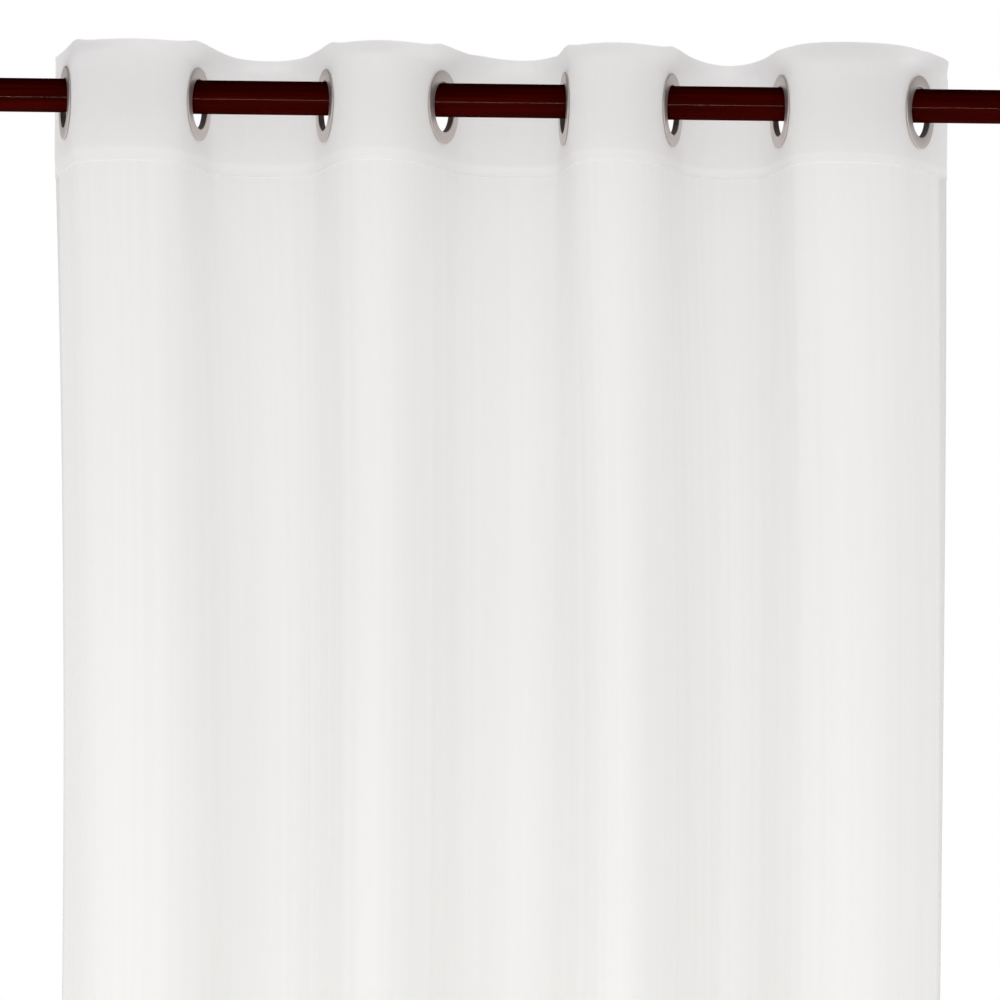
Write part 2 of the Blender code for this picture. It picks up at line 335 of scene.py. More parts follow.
def link_mesh(name, builder):
    """Turns a bmesh into a smooth-shaded object in the scene."""
    mesh = bpy.data.meshes.new(name)
    builder.to_mesh(mesh)
    builder.free()
    mesh.shade_smooth()
    piece = bpy.data.objects.new(name, mesh)
    bpy.context.scene.collection.objects.link(piece)
    return piece


def sheet_from_rows(name, rows):
    """A grid of faces through rows of (places in space, places across the flat cloth, height on the cloth)."""
    builder = bmesh.new()
    flat_place = builder.loops.layers.uv.new("cloth")
    grid = [[builder.verts.new(point) for point in row[0]] for row in rows]
    for r in range(len(rows) - 1):
        for c in range(len(grid[0]) - 1):
            corners = ((r, c), (r, c + 1), (r + 1, c + 1), (r + 1, c))
            face = builder.faces.new([grid[i][j] for i, j in corners])
            for loop, (i, j) in zip(face.loops, corners):
                loop[flat_place].uv = (rows[i][1][j], rows[i][2])
    return link_mesh(name, builder)


# %% [markdown]
# ## The voile
# Voile is a plain weave of fine, tightly twisted threads with gaps between them. It could be cut from real
# threads, but one panel has millions. What the eye reads instead is this: part of the light goes straight
# through the gaps, part is scattered back by the threads, and part is scattered through to the other side.
# Those three are a Transparent, a Principled and a Translucent shader. The heading has no gaps, because its
# stiffener closes them, so it leaves the Transparent out. Thicker threads, called slubs, make faint upright
# streaks: noise that changes only across the cloth tints them. The weave itself is a fine bump.

# %% Cloth material
THREAD_PITCH = 0.0006
WEAVE_DEPTH = 0.0001
SLUBS_PER_METRE = 110.0
PATCHES_PER_METRE = (7.0, 3.0, 1.0)
SEAM_FOLD = 0.01
FOLD_EDGE = 0.001
# The white of the painted highlight on the folded band at the seam.
PAINTED_LIGHT_WHITE = (0.999, 0.997, 0.997)
USUAL_NOISE = (0.3, 0.7)


def new_material(name):
    """An empty node material with its output."""
    material = bpy.data.materials.new(name)
    material.use_nodes = True
    material.node_tree.nodes.clear()
    return material, material.node_tree.nodes, material.node_tree.links


def stretched_noise(nodes, links, place, stretch, detail=2.0, dimensions="3D"):
    """Noise that is drawn out by different scales along each direction of the place it reads."""
    mapping = nodes.new("ShaderNodeMapping")
    mapping.inputs["Scale"].default_value = stretch
    links.new(place, mapping.inputs["Vector"])
    noise = nodes.new("ShaderNodeTexNoise")
    noise.noise_dimensions = dimensions
    noise.inputs["Scale"].default_value = 1.0
    noise.inputs["Detail"].default_value = detail
    links.new(mapping.outputs["Vector"], noise.inputs["Vector"])
    return noise.outputs["Fac"]


def upright_streaks(nodes, links, place):
    """Noise that changes only across the cloth, as thicker and thinner upright threads do."""
    parts = nodes.new("ShaderNodeSeparateXYZ")
    links.new(place, parts.inputs["Vector"])
    noise = nodes.new("ShaderNodeTexNoise")
    noise.noise_dimensions = "1D"
    noise.inputs["Scale"].default_value = SLUBS_PER_METRE
    noise.inputs["Detail"].default_value = 2.0
    links.new(parts.outputs["X"], noise.inputs["W"])
    return noise.outputs["Fac"]


def ranged(nodes, links, value, low, high):
    """A noise value, which mostly lies in the usual range, spread over a range of its own."""
    spread = nodes.new("ShaderNodeMapRange")
    spread.inputs["From Min"].default_value, spread.inputs["From Max"].default_value = USUAL_NOISE
    spread.inputs["To Min"].default_value = low
    spread.inputs["To Max"].default_value = high
    links.new(value, spread.inputs["Value"])
    return spread.outputs["Result"]


def combined(nodes, links, operation, first, second):
    """Two values put together by one Math node."""
    math_node = nodes.new("ShaderNodeMath")
    math_node.operation = operation
    links.new(first, math_node.inputs[0])
    links.new(second, math_node.inputs[1])
    return math_node.outputs["Value"]


def woven_threads(nodes, links, place):
    """The height of a plain weave: round threads along and across the cloth.

    A Wave texture of scale 1 has one wave in every tau / 20."""
    threads = []
    for direction in ("X", "Y"):
        wave = nodes.new("ShaderNodeTexWave")
        wave.bands_direction = direction
        wave.inputs["Scale"].default_value = math.tau / (20.0 * THREAD_PITCH)
        links.new(place, wave.inputs["Vector"])
        threads.append(wave.outputs["Fac"])
    return combined(nodes, links, "MAXIMUM", *threads)


def painted_light_band(nodes, links, place, below):
    """1 on the part of the cloth that lies lower than the height below, where it is folded double and painted
    whiter as painted light.
    """
    parts = nodes.new("ShaderNodeSeparateXYZ")
    links.new(place, parts.inputs["Vector"])
    edge = nodes.new("ShaderNodeMapRange")
    edge.inputs["From Min"].default_value = below + FOLD_EDGE
    edge.inputs["From Max"].default_value = below - FOLD_EDGE
    links.new(parts.outputs["Y"], edge.inputs["Value"])
    return edge.outputs["Result"]


def mixed_colour(nodes, links, factor, first, second):
    """A colour between two. Each is a fixed colour or another node's output."""
    mix = nodes.new("ShaderNodeMix")
    mix.data_type = "RGBA"
    for socket, colour in (("A", first), ("B", second)):
        if isinstance(colour, tuple):
            mix.inputs[socket].default_value = (*colour, 1.0)
        else:
            links.new(colour, mix.inputs[socket])
    links.new(factor, mix.inputs["Factor"])
    return mix.outputs["Result"]


def cloth_material(name, light, dark, covered, scattered_through, painted_light_below=None):
    """Cloth whose threads cover this share of it, in a colour between dark and light.

    Where it is folded double, low on the heading, it is painted as white as can be: a painted highlight for the
    extra light the folded layers throw back."""
    material, nodes, links = new_material(name)
    flat_cloth = nodes.new("ShaderNodeUVMap")
    flat_cloth.uv_map = "cloth"
    place = flat_cloth.outputs["UV"]
    slubs = upright_streaks(nodes, links, place)
    patches = stretched_noise(nodes, links, place, PATCHES_PER_METRE, detail=0.0, dimensions="2D")

    patchy = ranged(nodes, links, patches, 0.0, 0.6)
    streaky = ranged(nodes, links, slubs, -0.3, 0.7)
    tint = mixed_colour(nodes, links, combined(nodes, links, "ADD", patchy, streaky), dark, light)
    # Painted light: the folded band at the seam is painted whiter than the rest of the cloth.
    if painted_light_below is not None:
        tint = mixed_colour(nodes, links, painted_light_band(nodes, links, place, painted_light_below), tint, PAINTED_LIGHT_WHITE)

    bump = nodes.new("ShaderNodeBump")
    bump.inputs["Strength"].default_value = 0.35
    bump.inputs["Distance"].default_value = WEAVE_DEPTH
    links.new(woven_threads(nodes, links, place), bump.inputs["Height"])

    front = nodes.new("ShaderNodeBsdfPrincipled")
    front.inputs["Specular IOR Level"].default_value = 0.0
    links.new(tint, front.inputs["Base Color"])
    links.new(ranged(nodes, links, slubs, 0.78, 0.92), front.inputs["Roughness"])
    links.new(bump.outputs["Normal"], front.inputs["Normal"])
    through = nodes.new("ShaderNodeBsdfTranslucent")
    links.new(tint, through.inputs["Color"])
    threads = nodes.new("ShaderNodeMixShader")
    threads.inputs["Fac"].default_value = scattered_through
    links.new(front.outputs["BSDF"], threads.inputs[1])
    links.new(through.outputs["BSDF"], threads.inputs[2])

    surface = threads
    if covered < 1.0:
        gaps = nodes.new("ShaderNodeBsdfTransparent")
        surface = nodes.new("ShaderNodeMixShader")
        surface.inputs["Fac"].default_value = covered
        links.new(gaps.outputs["BSDF"], surface.inputs[1])
        links.new(threads.outputs["Shader"], surface.inputs[2])
    output = nodes.new("ShaderNodeOutputMaterial")
    links.new(surface.outputs["Shader"], output.inputs["Surface"])
    return material


voile = cloth_material(
    "voile", (0.930, 0.923, 0.917), (0.912, 0.905, 0.899), covered=0.87, scattered_through=0.40
)
doubled_voile = cloth_material(
    "doubled_voile",
    (0.982, 0.975, 0.979),
    (0.974, 0.967, 0.971),
    covered=1.0,
    scattered_through=0.66,
    painted_light_below=SEAM + SEAM_FOLD,
)
print("materials:", [m.name for m in bpy.data.materials if m.users == 0])

# %% [markdown]
# ## The panel
# The panel is one length of voile. Its side hems are turned back by 25 mm and its bottom hem by 80 mm, so the
# cloth is double there and looks denser. The top goes a little way up between the layers of the heading, as a
# sewn seam does. The hem of a hanging curtain is never quite level, so the drop varies by a few millimetres.

# %% Panel
ROW_HEIGHT = 0.024
BOTTOM_HEM = 0.08
BOTTOM_HEM_SHARES = (1.0, 0.75, 0.5, 0.25, 0.02)
SEAM_ALLOWANCE = 0.002
HEM_WAVE = 0.002
SLOW_WAVE, SLOW_START = 9.0, 0.6
QUICK_WAVE, QUICK_SHARE = 23.0, 0.6


def hem_sag(across, height):
    """A slow and a quicker wave that make the lowest part of the cloth uneven."""
    share = ease((SILL - height) / (SILL - HEM))
    wave = np.sin(across * SLOW_WAVE + SLOW_START) + QUICK_SHARE * np.sin(across * QUICK_WAVE)
    return share * HEM_WAVE * wave


def panel_rows():
    """The rows of the panel, from the raw edge inside the bottom hem, round the fold and up to the seam."""
    top = SEAM + SEAM_ALLOWANCE
    count = round((top - HEM) / ROW_HEIGHT)
    rows = []
    for share in BOTTOM_HEM_SHARES:
        height = HEM + share * BOTTOM_HEM
        points, across = hemmed_row(height, behind=2.0 * HEM_LAYER)
        points[:, 2] += hem_sag(across, height)
        rows.append((points, across, HEM - share * BOTTOM_HEM))
    for step in range(count + 1):
        height = HEM + (top - HEM) * step / count
        points, across = hemmed_row(height)
        points[:, 2] += hem_sag(across, height)
        rows.append((points, across, height))
    return rows


panel = sheet_from_rows("panel_cloth", panel_rows())
panel.data.materials.append(voile)
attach(panel, "root")
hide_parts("panel")
print("panel faces:", len(panel.data.polygons))

# %% [markdown]
# ## The eyelets
# Each eyelet is pressed from thin metal in two halves. The front half has a flat face with a rounded lip and a
# neck that goes through the cloth. The back half is a washer that is snapped round the neck. A ring could be
# a torus, but these have a flat face, so each half is turned from its own profile, as on a lathe. The rod
# carries the eyelets, so each hangs with the top of its bore on the rod.

# %% Eyelet shapes
ROD_RADIUS = 0.014
BORE_RADIUS = 0.0206
NECK_WALL = 0.0014
RIM_RADIUS = 0.0305
BACK_RIM_RADIUS = 0.0295
FRONT_FLANGE = 0.0014
BACK_FLANGE = 0.0015
HEADING_THICKNESS = 0.0016
CLEARANCE = 0.0003
LIP_ROUNDING = 0.0006
EYELET_SIDES = 72
SOLID_EYELET_SIDES = 28


def hanging_drop(lean):
    """How far an eyelet's centre hangs below the rod's axis when its bore rests on the rod."""
    angle = math.radians(lean)
    half_neck = HEADING_THICKNESS / 2.0 + CLEARANCE + max(FRONT_FLANGE, BACK_FLANGE)
    free_radius = BORE_RADIUS * math.cos(math.pi / SOLID_EYELET_SIDES) - CLEARANCE
    drop = BORE_RADIUS
    for degree in range(90):
        aside = ROD_RADIUS * math.sin(math.radians(degree))
        above = ROD_RADIUS * math.cos(math.radians(degree))
        across = (aside + half_neck * math.sin(angle)) / math.cos(angle)
        if across < free_radius:
            drop = min(drop, math.sqrt(free_radius**2 - across**2) - above)
    return drop


def eyelet_place(index):
    """Puts an eyelet's own +Z on the cloth's front at its line, at the height where it hangs."""
    centre, direction = flank_at(index, 0.0)
    across = Vector((direction[0], direction[1], 0.0))
    outward = Vector((direction[1], -direction[0], 0.0))
    turn = Matrix((across, outward.cross(across), outward)).transposed().to_4x4()
    drop = hanging_drop(FLANKS[index]["lean"])
    return Matrix.Translation((centre[0], centre[1], -drop)) @ turn


def rounded(corner_radius, corner_height, radius, start, end, steps=5):
    """A quarter round in a profile, as points of (radius, height) between two angles in degrees."""
    angles = [math.radians(start + (end - start) * k / steps) for k in range(steps + 1)]
    return [(corner_radius + radius * math.cos(a), corner_height + radius * math.sin(a)) for a in angles]


def turned_ring(name, profile, place):
    """A ring turned from a closed profile of (radius, height) points, listed against the clock."""
    builder = bmesh.new()
    rings = []
    for side in range(EYELET_SIDES):
        angle = math.tau * side / EYELET_SIDES
        rings.append([builder.verts.new((r * math.cos(angle), r * math.sin(angle), z)) for r, z in profile])
    for side, ring in enumerate(rings):
        following = rings[(side + 1) % EYELET_SIDES]
        for k in range(len(profile)):
            after = (k + 1) % len(profile)
            builder.faces.new((ring[k], following[k], following[after], ring[after]))
    piece = link_mesh(name, builder)
    piece.data.set_sharp_from_angle(angle=math.radians(40.0))
    piece.matrix_world = place
    return piece


def front_half_profile():
    """A face that is flat between a rounded rim and a rounded lip, and the neck behind it."""
    face = HEADING_THICKNESS / 2.0 + CLEARANCE
    top = face + FRONT_FLANGE
    neck_end = -face - BACK_FLANGE
    round_rim = rounded(RIM_RADIUS - LIP_ROUNDING, top - LIP_ROUNDING, LIP_ROUNDING, 0.0, 90.0)
    round_lip = rounded(BORE_RADIUS + LIP_ROUNDING, top - LIP_ROUNDING, LIP_ROUNDING, 90.0, 180.0)
    neck = [(BORE_RADIUS, neck_end), (BORE_RADIUS + NECK_WALL, neck_end), (BORE_RADIUS + NECK_WALL, face)]
    return neck + [(RIM_RADIUS - CLEARANCE, face)] + round_rim + round_lip


def back_half_profile():
    """A flat washer with its outer edge rounded off."""
    face = -HEADING_THICKNESS / 2.0 - CLEARANCE
    foot = face - BACK_FLANGE
    inner = BORE_RADIUS + NECK_WALL + CLEARANCE
    round_rim = rounded(BACK_RIM_RADIUS - LIP_ROUNDING, foot + LIP_ROUNDING, LIP_ROUNDING, -90.0, 0.0)
    return [(inner, foot)] + round_rim + [(BACK_RIM_RADIUS, face), (inner, face)]


# %% [markdown]
# ## Satin nickel
# The eyelets are plated and tumbled until they are matt. Seen close, the faces keep the faint rings of the
# press tool. Every eyelet is turned about its own +Z, so the distance from that axis gives those rings: it
# drives a fine wave for the bump. A little noise in the roughness stands for handling.

# %% Eyelet material
TOOL_MARK_PITCH = 0.0005


def satin_nickel_material():
    material, nodes, links = new_material("satin_nickel")
    place = nodes.new("ShaderNodeTexCoord").outputs["Object"]
    flat = nodes.new("ShaderNodeVectorMath")
    flat.operation = "MULTIPLY"
    flat.inputs[1].default_value = (1.0, 1.0, 0.0)
    links.new(place, flat.inputs[0])
    marks = nodes.new("ShaderNodeTexWave")
    marks.wave_type = "RINGS"
    marks.rings_direction = "SPHERICAL"
    marks.inputs["Scale"].default_value = math.tau / (20.0 * TOOL_MARK_PITCH)
    marks.inputs["Distortion"].default_value = 1.5
    marks.inputs["Detail"].default_value = 1.0
    links.new(flat.outputs["Vector"], marks.inputs["Vector"])
    bump = nodes.new("ShaderNodeBump")
    bump.inputs["Strength"].default_value = 0.08
    bump.inputs["Distance"].default_value = 0.00005
    links.new(marks.outputs["Fac"], bump.inputs["Height"])

    handling = stretched_noise(nodes, links, place, (90.0, 90.0, 90.0), detail=4.0)
    tint = nodes.new("ShaderNodeMix")
    tint.data_type = "RGBA"
    tint.inputs["A"].default_value = (0.67, 0.61, 0.58, 1.0)
    tint.inputs["B"].default_value = (0.72, 0.66, 0.63, 1.0)
    links.new(ranged(nodes, links, handling, 0.0, 1.0), tint.inputs["Factor"])
    metal = nodes.new("ShaderNodeBsdfPrincipled")
    metal.inputs["Metallic"].default_value = 1.0
    links.new(tint.outputs["Result"], metal.inputs["Base Color"])
    links.new(ranged(nodes, links, handling, 0.4, 0.48), metal.inputs["Roughness"])
    links.new(bump.outputs["Normal"], metal.inputs["Normal"])
    output = nodes.new("ShaderNodeOutputMaterial")
    links.new(metal.outputs["BSDF"], output.inputs["Surface"])
    return material


satin_nickel = satin_nickel_material()

# %% Eyelets
for index in range(len(FLANKS)):
    number = index + 1
    for half, profile in (("front", front_half_profile()), ("back", back_half_profile())):
        ring = turned_ring(f"eyelet_{half}_ring_{number}", profile, eyelet_place(index))
        ring.data.materials.append(satin_nickel)
        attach(ring, "root")
        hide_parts(f"eyelet_{half}_{number}")

# %% [markdown]
# ## The heading
# The heading is the same voile folded over a stiffener, so nothing shows through and the top edge stands up by
# itself. It is a closed, thin shape: a sheet, thickened by Solidify, with a round hole cut for each neck.
# The holes could be left as openings in the grid, but a Boolean cuts them truly round and as deep as the cloth
# is thick. The result is turned into a plain mesh at once, so that nothing is left to evaluate later.

# %% Heading
HEADING_ROWS = 24
LAYERED_THICKNESS = 0.0013
CUTTER_SIDES = 64
CUTTER_DEPTH = 0.012


def heading_rows():
    rows = []
    for step in range(HEADING_ROWS + 1):
        height = SEAM + HEADING_HEIGHT * step / HEADING_ROWS
        points, across = hemmed_row(height, side_hems=False)
        points[:, 2] += share_to_top(height) * row_lifts(across)
        rows.append((points, across, height))
    return rows


def hole_cutter(index):
    """A round plug, a little wider than the eyelet's neck."""
    builder = bmesh.new()
    radius = BORE_RADIUS + NECK_WALL + 2.0 * CLEARANCE
    bmesh.ops.create_cone(
        builder, cap_ends=True, segments=CUTTER_SIDES, radius1=radius, radius2=radius, depth=CUTTER_DEPTH
    )
    cutter = link_mesh(f"cutter_{index + 1}", builder)
    cutter.matrix_world = eyelet_place(index)
    return cutter


def made_real(piece):
    """Replaces a piece's mesh by the result of its modifiers."""
    evaluated = piece.evaluated_get(bpy.context.evaluated_depsgraph_get())
    result = bpy.data.meshes.new_from_object(evaluated)
    piece.modifiers.clear()
    piece.data = result


heading = sheet_from_rows("heading_cloth", heading_rows())
thicken = heading.modifiers.new("layers", "SOLIDIFY")
thicken.thickness = LAYERED_THICKNESS
thicken.offset = 0.0
cutters = [hole_cutter(index) for index in range(len(FLANKS))]
for cutter in cutters:
    cut = heading.modifiers.new(cutter.name, "BOOLEAN")
    cut.operation = "DIFFERENCE"
    cut.object = cutter
made_real(heading)
for cutter in cutters:
    bpy.data.objects.remove(cutter)
heading.data.shade_smooth()
heading.data.set_sharp_from_angle(angle=math.radians(50.0))
heading.data.materials.clear()
heading.data.materials.append(doubled_voile)
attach(heading, "root")
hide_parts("heading")
print("heading faces:", len(heading.data.polygons))

# %% [markdown]
# ## Sewing
# A line of machine stitches holds the heading, the side hems and the bottom hem. Each stitch dips into the
# cloth at both ends, so it is a short strand that is thickest in its middle. One loop walks along a line on
# the cloth and lays a strand for each stitch, and each line of sewing becomes one mesh.

# %% Stitches
STITCH_LENGTH = 0.0026
STITCH_PITCH = 0.0034
THREAD_RADIUS = 0.00018
THREAD_SIDES = 5
STITCH_INSET = 0.004


def sewn_line(name, points, outwards):
    """Stitches along a line of points, lying on the side of the cloth that outwards points to."""
    builder = bmesh.new()
    lengths = np.linalg.norm(np.diff(points, axis=0), axis=1)
    walked = np.concatenate(([0.0], np.cumsum(lengths)))
    count = int(walked[-1] / STITCH_PITCH)
    for number in range(count):
        start = (number + 0.5) * STITCH_PITCH - STITCH_LENGTH / 2.0
        rings = []
        for share in (0.0, 0.5, 1.0):
            at = start + share * STITCH_LENGTH
            centre = Vector([np.interp(at, walked, points[:, axis]) for axis in range(3)])
            out = Vector([np.interp(at, walked, outwards[:, axis]) for axis in range(3)]).normalized()
            ahead = Vector([np.interp(at + 0.001, walked, points[:, axis]) for axis in range(3)])
            before = Vector([np.interp(at - 0.001, walked, points[:, axis]) for axis in range(3)])
            side = (ahead - before).normalized().cross(out)
            swell = math.sin(math.pi * (0.1 + 0.8 * share))
            middle = centre + out * THREAD_RADIUS * (swell - 0.2)
            ring = []
            for k in range(THREAD_SIDES):
                angle = math.tau * k / THREAD_SIDES
                offset = (out * math.cos(angle) + side * math.sin(angle)) * THREAD_RADIUS * swell
                ring.append(builder.verts.new(middle + offset))
            rings.append(ring)
        for one, other in zip(rings, rings[1:]):
            for k in range(THREAD_SIDES):
                after = (k + 1) % THREAD_SIDES
                builder.faces.new((one[k], one[after], other[after], other[k]))
        builder.faces.new(reversed(rings[0]))
        builder.faces.new(rings[-1])
    bmesh.ops.recalc_face_normals(builder, faces=builder.faces)
    return link_mesh(name, builder)


def level_line(height, raised):
    """A line across the cloth at one height, on its front, and the direction out of the cloth there."""
    points, across = cloth_row(height)
    normals = front_normals(points)
    points = points + normals * (crease_push(across, height) + raised)[:, None]
    places = np.column_stack([points, height + seam_slope(across, height) + hem_sag(across, height)])
    return places, np.column_stack([normals, np.zeros(len(points))])


def upright_line(end):
    """A line down the inner edge of one side hem, on the front of the cloth."""
    places, outs = [], []
    for height in np.linspace(SEAM - STITCH_INSET, HEM + STITCH_INSET, 120):
        points, across = cloth_row(height)
        normals = front_normals(points)
        points = points + normals * crease_push(across, height)[:, None]
        inset = SIDE_HEM - STITCH_INSET
        at = across[0] + inset if end == "left" else across[-1] - inset
        places.append([np.interp(at, across, points[:, axis]) for axis in range(2)] + [height])
        outs.append([np.interp(at, across, normals[:, axis]) for axis in range(2)] + [0.0])
    return np.array(places), np.array(outs)


def thread_material():
    """Polyester thread: a soft shine and the twist of its plies."""
    material, nodes, links = new_material("thread")
    place = nodes.new("ShaderNodeTexCoord").outputs["Object"]
    twist = stretched_noise(nodes, links, place, (2500.0, 2500.0, 2500.0))
    bump = nodes.new("ShaderNodeBump")
    bump.inputs["Strength"].default_value = 0.3
    bump.inputs["Distance"].default_value = 0.00008
    links.new(twist, bump.inputs["Height"])
    shader = nodes.new("ShaderNodeBsdfPrincipled")
    shader.inputs["Base Color"].default_value = (0.95, 0.945, 0.94, 1.0)
    shader.inputs["Sheen Weight"].default_value = 0.2
    links.new(ranged(nodes, links, twist, 0.45, 0.65), shader.inputs["Roughness"])
    links.new(bump.outputs["Normal"], shader.inputs["Normal"])
    output = nodes.new("ShaderNodeOutputMaterial")
    links.new(shader.outputs["BSDF"], output.inputs["Surface"])
    return material


thread = thread_material()
sewing = {
    "seam_stitches": (*level_line(SEAM + STITCH_INSET, LAYERED_THICKNESS / 2.0), "heading"),
    "hem_stitches": (*level_line(HEM + BOTTOM_HEM - STITCH_INSET, 0.0), "voile"),
    "left_hem_stitches": (*upright_line("left"), "voile"),
    "right_hem_stitches": (*upright_line("right"), "voile"),
}
stitches = {}
for name, (line, outwards, slot) in sewing.items():
    stitches[name] = sewn_line(name, line, outwards)
    stitches[name].data.materials.append(thread)
    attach(stitches[name], "root")
print({name: len(piece.data.polygons) for name, piece in stitches.items()})

# %% [markdown]
# ## The rod
# The rod is a turned beech dowel, stained dark mahogany and lacquered. The solid has forty flat sides, which is
# enough for its shape but breaks up a long highlight, so a rounder rod takes its place. It is turned about X
# from a half outline with softened ends.

# %% Rod shape
ROD_LENGTH = 1.2
ROD_SIDES = 96
ROD_END_ROUNDING = 0.0012
ROD_STATIONS = 60


def rod_outline():
    """Points of (x, radius) from the centre of one end face to the centre of the other."""
    half = ROD_LENGTH / 2.0
    steps = [math.radians(15.0 * k) for k in range(7)]
    left = [
        (-half + ROD_END_ROUNDING * (1.0 - math.sin(a)), ROD_RADIUS - ROD_END_ROUNDING * (1.0 - math.cos(a)))
        for a in reversed(steps)
    ]
    middle = [(x, ROD_RADIUS) for x in np.linspace(-half, half, ROD_STATIONS)[1:-1]]
    right = [(-x, r) for x, r in reversed(left)]
    return left + middle + right


def build_rod():
    builder = bmesh.new()
    outline = rod_outline()
    rings = []
    for x, radius in outline:
        angles = [math.tau * k / ROD_SIDES for k in range(ROD_SIDES)]
        rings.append([builder.verts.new((x, radius * math.cos(a), radius * math.sin(a))) for a in angles])
    for one, other in zip(rings, rings[1:]):
        for k in range(ROD_SIDES):
            after = (k + 1) % ROD_SIDES
            builder.faces.new((one[k], other[k], other[after], one[after]))
    builder.faces.new(rings[0])
    builder.faces.new(reversed(rings[-1]))
    bmesh.ops.recalc_face_normals(builder, faces=builder.faces)
    rod = link_mesh("rod_wood", builder)
    rod.data.set_sharp_from_angle(angle=math.radians(50.0))
    return rod


# %% [markdown]
# ## Lacquered mahogany
# Stain sinks deeper into the soft parts of the grain, so dark red wood shows long streaks that run with the
# rod. Noise drawn out along X gives them. The lacquer is a thin clear coat over the wood. It was sprayed on and
# is not perfectly level, so a long highlight breaks up a little: a very shallow bump on the coat does that.


# %% Rod material
def mahogany_material():
    material, nodes, links = new_material("mahogany")
    place = nodes.new("ShaderNodeTexCoord").outputs["Object"]
    grain = stretched_noise(nodes, links, place, (7.0, 420.0, 420.0), detail=4.0)
    stain = stretched_noise(nodes, links, place, (5.0, 60.0, 60.0))
    streaks = combined(nodes, links, "MULTIPLY", ranged(nodes, links, grain, 0.3, 1.0), stain)
    colour = nodes.new("ShaderNodeValToRGB")
    colour.color_ramp.elements[0].position = 0.15
    colour.color_ramp.elements[0].color = (0.0085, 0.00015, 0.00003, 1.0)
    colour.color_ramp.elements[1].position = 0.62
    colour.color_ramp.elements[1].color = (0.018, 0.0004, 0.0001, 1.0)
    links.new(streaks, colour.inputs["Fac"])
    uneven = stretched_noise(nodes, links, place, (22.0, 90.0, 90.0))
    bump = nodes.new("ShaderNodeBump")
    bump.inputs["Strength"].default_value = 0.12
    bump.inputs["Distance"].default_value = 0.0003
    links.new(uneven, bump.inputs["Height"])
    wood = nodes.new("ShaderNodeBsdfPrincipled")
    wood.inputs["Specular IOR Level"].default_value = 0.0
    wood.inputs["Coat Weight"].default_value = 0.02
    wood.inputs["Coat Roughness"].default_value = 0.05
    links.new(colour.outputs["Color"], wood.inputs["Base Color"])
    links.new(ranged(nodes, links, grain, 0.3, 0.42), wood.inputs["Roughness"])
    links.new(bump.outputs["Normal"], wood.inputs["Normal"])
    links.new(bump.outputs["Normal"], wood.inputs["Coat Normal"])
    output = nodes.new("ShaderNodeOutputMaterial")
    links.new(wood.outputs["BSDF"], output.inputs["Surface"])
    return material


rod = build_rod()
rod.data.materials.append(mahogany_material())
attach(rod, "root")
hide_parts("rod")
print("rod faces:", len(rod.data.polygons))

# %% [markdown]
# ## The cut of the cloth
# The heading is 1.4 m by 100 mm. The panel's cut adds the cloth that the hems and the seam take up.

# %% [markdown]
# ## The studio
# Thin white cloth looks white only against soft, even light, so most of the light comes from a pale dome. A
# softbox in front, a little to the left, shows the folds. A wide light just over the floor stands for what a
# pale floor throws back, so the cloth grows brighter downwards. Two lights reach only the rod: a long low strip,
# seen only in gloss, draws the thin line along its lacquer, and a fill from below brings out its red. The floor
# is plain and pale, and thins out towards its rim, so no horizon cuts through the cloth.

# %% Floor
FLOOR_GAP = 0.02
FLOOR_RADIUS = 5.0


def floor_material():
    material, nodes, links = new_material("floor")
    place = nodes.new("ShaderNodeTexCoord").outputs["Object"]
    mapping = nodes.new("ShaderNodeMapping")
    mapping.inputs["Scale"].default_value = (1.0 / FLOOR_RADIUS, 1.0 / FLOOR_RADIUS, 1.0)
    links.new(place, mapping.inputs["Vector"])
    from_middle = nodes.new("ShaderNodeTexGradient")
    from_middle.gradient_type = "SPHERICAL"
    links.new(mapping.outputs["Vector"], from_middle.inputs["Vector"])
    shown = nodes.new("ShaderNodeMapRange")
    shown.inputs["From Max"].default_value = 0.5
    links.new(from_middle.outputs["Fac"], shown.inputs["Value"])
    shader = nodes.new("ShaderNodeBsdfPrincipled")
    shader.inputs["Base Color"].default_value = (0.86, 0.86, 0.85, 1.0)
    shader.inputs["Roughness"].default_value = 0.9
    shader.inputs["Specular IOR Level"].default_value = 0.1
    links.new(shown.outputs["Result"], shader.inputs["Alpha"])
    output = nodes.new("ShaderNodeOutputMaterial")
    links.new(shader.outputs["BSDF"], output.inputs["Surface"])
    return material


builder = bmesh.new()
bmesh.ops.create_circle(builder, cap_ends=True, segments=96, radius=FLOOR_RADIUS)
floor = link_mesh("floor", builder)
floor.location = (0.0, 0.0, HEM - FLOOR_GAP)
floor.data.materials.append(floor_material())
floor.visible_glossy = False

# %% Dome and lights
DOME_STRENGTH = 0.77
BACKGROUND_STRENGTH = 1.0
DARK_ABOVE = 0.35
MIRROR_BELOW, MIRROR_ABOVE = 0.9, 0.05
SOFT_WHITE = (1.0, 0.99, 0.975)


def background(nodes, strength, colour=(1.0, 1.0, 1.0)):
    shader = nodes.new("ShaderNodeBackground")
    shader.inputs["Strength"].default_value = strength
    shader.inputs["Color"].default_value = (*colour, 1.0)
    return shader


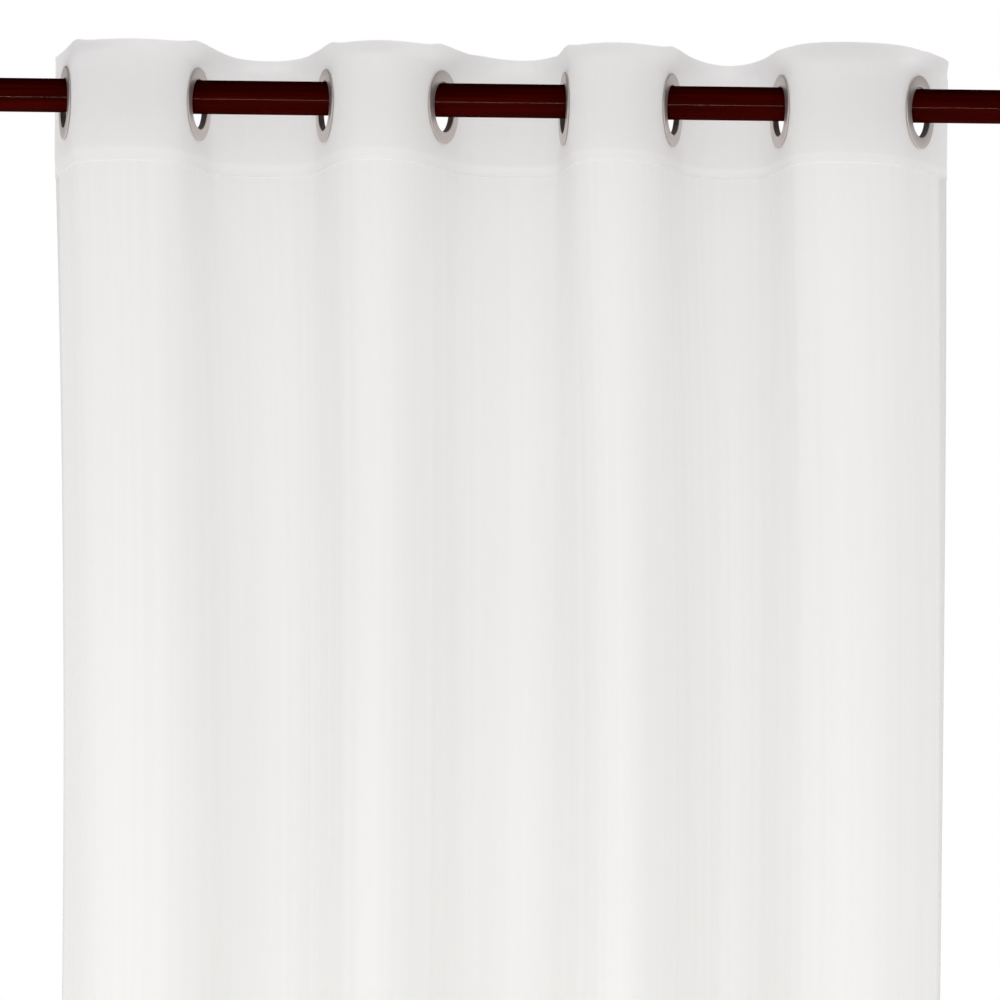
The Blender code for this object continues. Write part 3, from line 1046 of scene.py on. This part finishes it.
def build_dome():
    """White for the camera, a soft dome for the light, and a dome that is dark above for what gloss mirrors."""
    world = bpy.data.worlds.new("studio")
    world.use_nodes = True
    nodes, links = world.node_tree.nodes, world.node_tree.links
    nodes.clear()
    seen = background(nodes, BACKGROUND_STRENGTH)
    lighting = background(nodes, DOME_STRENGTH, (1.0, 0.995, 0.985))
    mirrored = background(nodes, BACKGROUND_STRENGTH)
    parts = nodes.new("ShaderNodeSeparateXYZ")
    links.new(nodes.new("ShaderNodeTexCoord").outputs["Generated"], parts.inputs["Vector"])
    rising = nodes.new("ShaderNodeMapRange")
    rising.inputs["From Max"].default_value = DARK_ABOVE
    rising.inputs["To Min"].default_value = MIRROR_BELOW
    rising.inputs["To Max"].default_value = MIRROR_ABOVE
    links.new(parts.outputs["Z"], rising.inputs["Value"])
    links.new(rising.outputs["Result"], mirrored.inputs["Strength"])
    path = nodes.new("ShaderNodeLightPath")
    gloss = nodes.new("ShaderNodeMixShader")
    links.new(path.outputs["Is Glossy Ray"], gloss.inputs["Fac"])
    links.new(lighting.outputs["Background"], gloss.inputs[1])
    links.new(mirrored.outputs["Background"], gloss.inputs[2])
    mix = nodes.new("ShaderNodeMixShader")
    links.new(path.outputs["Is Camera Ray"], mix.inputs["Fac"])
    links.new(gloss.outputs["Shader"], mix.inputs[1])
    links.new(seen.outputs["Background"], mix.inputs[2])
    output = nodes.new("ShaderNodeOutputWorld")
    links.new(mix.outputs["Shader"], output.inputs["Surface"])
    bpy.context.scene.world = world


def area_light(name, place, aim, size, watts, colour=(1.0, 1.0, 1.0)):
    data = bpy.data.lights.new(name, "AREA")
    data.shape = "RECTANGLE"
    data.size, data.size_y = size
    data.energy = watts
    data.color = colour
    light = bpy.data.objects.new(name, data)
    light.location = place
    light.rotation_euler = (Vector(aim) - Vector(place)).to_track_quat("-Z", "Y").to_euler()
    light.visible_camera = False
    bpy.context.scene.collection.objects.link(light)
    return light


build_dome()
key = area_light("front_softbox", (-0.3, -1.5, -1.1), (0.0, 0.0, -1.1), (2.4, 1.2), 7.5, SOFT_WHITE)
key.visible_glossy = False
over_floor = (0.0, 0.0, HEM - FLOOR_GAP / 2.0)
bounce = area_light("floor_bounce", over_floor, (0.0, 0.0, 0.0), (5.0, 5.0), 50.0, SOFT_WHITE)
bounce.visible_glossy = False
strip = area_light("low_strip", (0.0, -2.5, -0.92), (0.0, 0.0, 0.0), (3.2, 0.09), 150.0, (1.0, 0.8, 0.62))
strip.visible_diffuse = False
strip.visible_transmission = False
fill = area_light("rod_fill", (0.0, -1.2, -1.0), (0.0, 0.0, 0.0), (2.4, 0.4), 66.0, (1.0, 0.9, 0.8))
fill.visible_glossy = False
lacquered = bpy.data.collections.new("lacquered")
lacquered.objects.link(rod)
for light in (strip, fill):
    light.light_linking.receiver_collection = lacquered
bpy.context.scene.view_settings.view_transform = "Standard"
